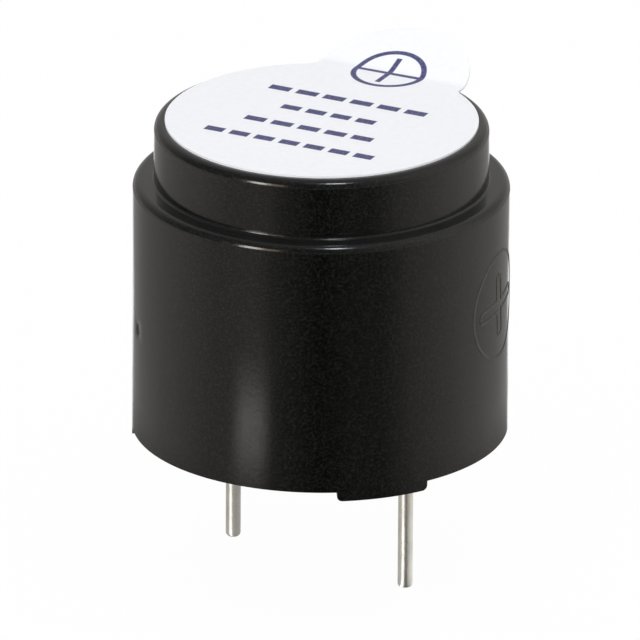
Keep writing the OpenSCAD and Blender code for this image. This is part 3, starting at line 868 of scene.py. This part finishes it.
def wound_wire(name):
    """Enamelled copper wire, wound in rings round the core."""
    w = new_material(name, Metallic=0.65, Coat_Weight=0.4)
    turns = w.waves("BANDS", "Z", 1900, 0.6, detail=1.0)
    tint = w.mix(w.span(w.noise(w.place, 1500, 3.0), 0.35, 0.65), (0.50, 0.16, 0.05), (0.34, 0.09, 0.03))
    return w.dressed(tint, w.span(turns, 0.0, 1.0, 0.42, 0.26), turns, 0.7, 0.00004)


def woven_board(name):
    """Board laminate: green resin with the glass weave showing through."""
    w = new_material(name, Coat_Weight=0.3)
    weave = w.times(w.waves("BANDS", "X", 700, 0.4), w.waves("BANDS", "Y", 700, 0.4))
    tint = w.mix(weave, (0.045, 0.16, 0.05), (0.09, 0.24, 0.08))
    return w.dressed(tint, w.span(weave, 0.0, 1.0, 0.32, 0.45), weave, 0.2)


FLOOR_Z = LONG_TIP.z - 0.00002
CAMERA_TURN = math.radians(15.0)

# What the object mirrors, by direction round it: degrees from the camera's side, and tone.
FLOOR_TONES = ((-180, 0.42), (-128, 0.42), (-108, 0.54), (-89, 0.59), (-75, 0.55), (-62, 0.45), (-36, 0.45),
               (-26, 0.24), (-9, 0.10), (0, 0.04), (18, 0.12), (34, 0.14), (44, 0.28), (53, 0.42), (71, 0.57),
               (89, 0.66), (108, 0.62), (124, 0.5), (150, 0.44), (180, 0.42))
DOME_TONES = ((-180, 0.5), (-150, 0.45), (-120, 0.32), (-100, 0.2), (-80, 0.24), (-50, 0.26), (-10, 0.16),
              (20, 0.22), (45, 0.4), (60, 0.57), (80, 0.75), (105, 0.75), (130, 0.52), (180, 0.5))
LONG_LEAD_TONES = ((-180, 0.6), (-100, 0.48), (-75, 0.5), (-54, 0.6), (-47, 1.7), (-27, 1.7), (-15, 0.5),
                   (-2, 0.16), (20, 0.18), (34, 0.44), (52, 0.58), (70, 0.72), (92, 0.86), (180, 0.9))
SHORT_LEAD_TONES = ((-180, 0.6), (-100, 0.46), (-60, 0.5), (-50, 1.65), (-30, 1.65), (-16, 0.55), (-4, 0.42),
                    (40, 0.34), (100, 0.4), (180, 0.6))


def staged(bm, name, material, mirrored=True):
    """Turns a bmesh into a stage object, which by default only mirrored rays meet."""
    thing = linked(bm, name, [material])
    if mirrored:
        thing.visible_camera = thing.visible_diffuse = False
        thing.visible_shadow = thing.visible_transmission = False


def sheet(name, size, place, material, mirrored=True):
    """A flat sheet on the stage."""
    bm = bmesh.new()
    bmesh.ops.create_grid(bm, x_segments=1, y_segments=1, size=0.5)
    bmesh.ops.scale(bm, vec=(*size, 1), verts=bm.verts)
    bmesh.ops.transform(bm, matrix=place, verts=bm.verts)
    staged(bm, name, material, mirrored)


def background_rays(w):
    """1 for the camera's rays, mirrored ones and those through glass."""
    path = w.node("ShaderNodeLightPath").outputs
    looking = w.most(path["Is Camera Ray"], path["Is Glossy Ray"])
    return path, w.most(looking, path["Is Transmission Ray"])


def floor_material(shadow):
    """White paper: glowing to the camera and in reflections, less a share for the shadow."""
    w = blank_material("Paper")
    fibre = w.noise(w.place, 900, 3.0, 0.6)
    paper = w.node("ShaderNodeBsdfDiffuse", {"Color": w.mix(fibre, (0.96, 0.96, 0.96), (0.99, 0.99, 0.99))})
    glow = w.node("ShaderNodeEmission", {"Color": (1, 1, 1, 1), "Strength": 1.0})
    path, looking = background_rays(w)
    white = w.minus(looking, w.times(path["Is Camera Ray"], shadow))
    under = w.node("ShaderNodeNewGeometry").outputs["Backfacing"]
    w.close(w.blend(under, w.blend(white, paper, glow), w.node("ShaderNodeBsdfTransparent")))
    return w.material


def round_the_object(w, middle=0.0, centre=(0.0, 0.0)):
    """Direction round a centre, counted from the camera's side and a middle, and distance from it."""
    moved = w.node("ShaderNodeVectorMath", {0: w.place, 1: (*centre, 0.0)}, operation="SUBTRACT").outputs[0]
    facing = w.parts(w.mapped(moved, Rotation=(0, 0, -(CAMERA_TURN + middle))))
    x, y = facing["X"], facing["Y"]
    return w.math("ARCTAN2", x, w.times(y, -1.0)), w.away(x, y)


def glowing_card(name, tint=(1, 1, 1), strength=1.0):
    """Wiring for a card's material: a glow that covers as much as its cover says."""
    w = blank_material(name)
    glow = w.node("ShaderNodeEmission", {"Color": (*tint, 1.0), "Strength": strength})
    mixed = w.blend(1.0, w.node("ShaderNodeBsdfTransparent"), glow)
    w.close(mixed)
    w.glow, w.cover = glow.inputs, mixed.inputs[0]
    return w


def tones_round(w, tones, level, tint, centre=(0.0, 0.0)):
    """Lays tones by direction on a glow of that level, and gives the distance from the centre."""
    aside, reach = round_the_object(w, centre=centre)
    ramp = w.node("ShaderNodeValToRGB", {"Fac": w.plus(w.math("DIVIDE", aside, math.tau), 0.5)})
    stops = ramp.color_ramp.elements
    for at, _ in tones[1:-1]:
        stops.new(at / 360 + 0.5)
    for stop, (_, tone) in zip(stops, tones):
        stop.color = (*(tone / level * part for part in tint), 1.0)
    w.feed(w.glow["Color"], ramp.outputs["Color"])
    w.feed(w.glow["Strength"], level)
    return reach


def shaded_card(name):
    """The dark and pale things round the object, as tones on a level card, darker close to it."""
    w = glowing_card(name)
    reach = tones_round(w, FLOOR_TONES, 1.0, (1.0, 0.97, 0.93))
    w.feed(w.glow["Strength"], w.span(reach, 0.018, 0.0255, 0.3, 1.0))
    w.feed(w.cover, w.times(w.span(reach, 0.5, 0.3), w.span(reach, 0.014, 0.019)))
    return w.material


def strip_behind(name):
    """A white strip behind the object, wider further off, which its outermost edges mirror."""
    w = glowing_card(name, strength=1.5)
    facing = w.parts(w.mapped(w.place, Rotation=(0, 0, -CAMERA_TURN)))
    widening = w.math("MINIMUM", w.math("MULTIPLY_ADD", facing["Y"], 0.4, -0.0042), 0.0085)
    across = w.minus(w.math("ABSOLUTE", facing["X"]), widening)
    w.feed(w.cover, w.times(w.span(across, 0.0100, 0.0074), w.span(facing["Y"], 0.006, 0.012)))
    return w.material


def wall_strip(name):
    """A narrow soft strip on the floor, which the wall mirrors low on the left."""
    level, middle, half_turn = 2.5, math.radians(-37.5), math.radians(12)
    near, far, fade = 0.0245, 0.039, 0.008
    w = glowing_card(name, (level, level * 0.97, level * 0.92))
    aside, reach = round_the_object(w, middle)
    across = w.span(w.math("ABSOLUTE", aside), half_turn, half_turn * 0.35)
    along = w.times(w.span(reach, near, near + fade), w.span(reach, far, far - fade))
    w.feed(w.cover, w.times(across, along))
    return w.material


def lead_tent(name, centre, tones):
    """A small round tent about one lead, which only that lead mirrors."""
    radius, bottom, top, level = 0.0026, FLOOR_Z + 0.0001, 0.0005, 1.7
    bm = bmesh.new()
    circle(bm, radius, 64, filled=True)
    shift(bm, bm.verts, *centre, bottom)
    rim = bmesh.ops.extrude_edge_only(bm, edges=bm.edges[:])["geom"]
    shift(bm, verts_of(rim), z=top - bottom)
    w = glowing_card(name)
    tones_round(w, tones, level, (1.0, 0.99, 0.97), centre)
    staged(bm, name, w.material)


def light_tent():
    """A dome with its own tones by direction and a grey crown."""
    radius, crown = 0.9, (0.35, 0.35, 0.35)
    bm = bmesh.new()
    bmesh.ops.create_uvsphere(bm, u_segments=48, v_segments=24, radius=radius)
    bmesh.ops.reverse_faces(bm, faces=bm.faces)
    for face in bm.faces:
        face.smooth = True
    w = glowing_card("Light tent")
    tones_round(w, DOME_TONES, 1.0, (1.0, 0.98, 0.95))
    height = w.parts(w.place)["Z"]
    around = w.glow["Color"].links[0].from_socket
    w.feed(w.glow["Color"], w.mix(w.span(height, radius * 0.75, radius), around, crown))
    w.feed(w.cover, w.span(height, -0.001, 0.001))
    staged(bm, "light_tent", w.material)


def aimed(azimuth, elevation, distance):
    """Place and turn of something that faces the object, by degrees from the camera's side and up."""
    a, e = math.radians(azimuth) + CAMERA_TURN, math.radians(elevation)
    out = Vector((math.sin(a) * math.cos(e), -math.cos(a) * math.cos(e), math.sin(e)))
    return Vector((0, 0, 0.006)) + out * distance, (-out).to_track_quat("-Z", "Y")


def bright_face(name, azimuth, elevation, distance, size, level, tint):
    """The bright face of a soft light, which only mirrored rays meet."""
    place, facing = aimed(azimuth, elevation, distance)
    sheet(name, size, Matrix.Translation(place) @ facing.to_matrix().to_4x4(),
          glowing_card(name, tint, level).material)


def softbox(name, azimuth, elevation, distance, size, watts, tint):
    """A soft light aimed at the object, which isn't mirrored itself."""
    data = bpy.data.lights.new(name, "AREA")
    data.shape = "RECTANGLE"
    data.size, data.size_y = size
    data.energy, data.color = watts, tint
    lamp = bpy.data.objects.new(name, data)
    bpy.context.scene.collection.objects.link(lamp)
    lamp.rotation_mode = "QUATERNION"
    lamp.location, lamp.rotation_quaternion = aimed(azimuth, elevation, distance)
    lamp.visible_glossy = False


def set_world(strength):
    """White to the camera and in reflections, and an even room light otherwise."""
    world = bpy.data.worlds.new("Studio")
    bpy.context.scene.world = world
    w = emptied(world)
    looking = background_rays(w)[1]
    white = w.node("ShaderNodeBackground", {"Color": (1, 1, 1, 1), "Strength": 1.0})
    room = w.node("ShaderNodeBackground", {"Color": (1, 1, 1, 1), "Strength": strength})
    w.close(w.blend(looking, room, white), "World")


def set_camera():
    """Long lens, a little above the object, as the photograph was taken."""
    data = bpy.data.cameras.new("Camera")
    data.sensor_width, data.lens = 36.0, 1133.7
    data.clip_start, data.clip_end = 0.05, 10.0
    camera = bpy.data.objects.new("Camera", data)
    bpy.context.scene.collection.objects.link(camera)
    tilt, roll, distance = math.radians(21.68), math.radians(0.36), 0.8554
    round_it = Matrix.Rotation(CAMERA_TURN, 3, "Z")
    turned = round_it @ Matrix.Rotation(math.pi / 2 - tilt, 3, "X") @ Matrix.Rotation(roll, 3, "Z")
    aim = round_it @ Vector((-0.022 * MM, 0, 5.066 * MM))
    camera.matrix_world = Matrix.Translation(aim + turned.col[2] * distance) @ turned.to_4x4()
    bpy.context.scene.camera = camera


class BUZZER_OT_studio(Operator):
    """Pale floor, white surroundings, soft lights and the photograph's camera"""
    bl_idname = "buzzer.studio"
    bl_label = "Studio"

    def execute(self, context):
        studio = context.scene.buzzer_studio
        context.scene.view_settings.view_transform = "Standard"
        set_world(studio.ambient)
        sheet("floor", (1.2, 1.2), Matrix.Translation((0, 0, FLOOR_Z)), floor_material(studio.shadow),
              mirrored=False)
        for step, (name, material) in enumerate((("shaded_card", shaded_card("Shaded card")),
                                                 ("strip_behind", strip_behind("Strip behind")),
                                                 ("wall_strip", wall_strip("Wall strip"))), 1):
            sheet(name, (1.0, 1.0), Matrix.Translation((0, 0, FLOOR_Z + step * 0.00005)), material)
        side = context.scene.buzzer_leads.pitch / 2
        lead_tent("long_lead_tent", (side, 0.0), LONG_LEAD_TONES)
        lead_tent("short_lead_tent", (-side, 0.0), SHORT_LEAD_TONES)
        light_tent()
        # Name, degrees round and up, distance, size, watts or level, tint.
        softbox("overhead_panel", 0, 55, 0.5, (0.5, 0.5), studio.key, (1, 1, 1))
        softbox("warm_box", -42, 16, 0.5, (0.18, 0.2), 0.42, (1.0, 0.95, 0.88))
        softbox("cool_box", 14, 68, 0.5, (0.1, 0.12), 0.3, (0.9, 0.95, 1.0))
        bright_face("warm_face", -42.5, 14, 0.5, (0.1, 0.2), 13.0, (1.0, 0.97, 0.92))
        bright_face("warm_edge", -31, 14, 0.5, (0.1, 0.2), 2.6, (1.0, 0.8, 0.55))
        bright_face("cool_face", 16.5, 68, 0.5, (0.06, 0.1), 18.0, (0.95, 0.97, 1.0))
        bright_face("cool_edge", 15.5, 68, 0.52, (0.13, 0.12), 3.0, (0.55, 0.72, 1.0))
        set_camera()
        return {"FINISHED"}


class BUZZER_PT_parts(Panel):
    """Lists the buzzer's pieces, their sizes and their colours."""
    bl_idname = "BUZZER_PT_parts"
    bl_label = "Magnetic buzzer"
    bl_space_type = "VIEW_3D"
    bl_region_type = "UI"
    bl_category = "Buzzer"

    def draw(self, context):
        layout = self.layout
        for operator in OPERATORS:
            layout.operator(operator.bl_idname)
        for name, group in GROUPS:
            box = layout.box()
            box.label(text=group.__doc__.rstrip("."))
            for key in group.__annotations__:
                box.prop(getattr(context.scene, name), key)


OPERATORS = (BUZZER_OT_housing, BUZZER_OT_wash_seal, BUZZER_OT_leads, BUZZER_OT_resin, BUZZER_OT_inner_parts,
             BUZZER_OT_studio)
GROUPS = (("buzzer_housing", BUZZER_PG_housing), ("buzzer_marks", BUZZER_PG_marks),
          ("buzzer_seal", BUZZER_PG_seal), ("buzzer_leads", BUZZER_PG_leads),
          ("buzzer_finish", BUZZER_PG_finish), ("buzzer_studio", BUZZER_PG_studio))


def register():
    """Registers the classes and hangs the settings on the scene."""
    for name, group in GROUPS:
        bpy.utils.register_class(group)
        setattr(bpy.types.Scene, name, PointerProperty(type=group))
    for made in (*OPERATORS, BUZZER_PT_parts):
        bpy.utils.register_class(made)


def unregister():
    """Takes the classes and the settings away again."""
    for made in (BUZZER_PT_parts, *reversed(OPERATORS)):
        bpy.utils.unregister_class(made)
    for name, group in reversed(GROUPS):
        delattr(bpy.types.Scene, name)
        bpy.utils.unregister_class(group)


def main():
    """Builds everything in order."""
    register()
    make_groups()
    bpy.ops.buzzer.housing()
    bpy.ops.buzzer.wash_seal()
    bpy.ops.buzzer.leads()
    bpy.ops.buzzer.resin()
    bpy.ops.buzzer.inner_parts()
    bpy.ops.buzzer.studio()


if __name__ == "__main__":
    main()
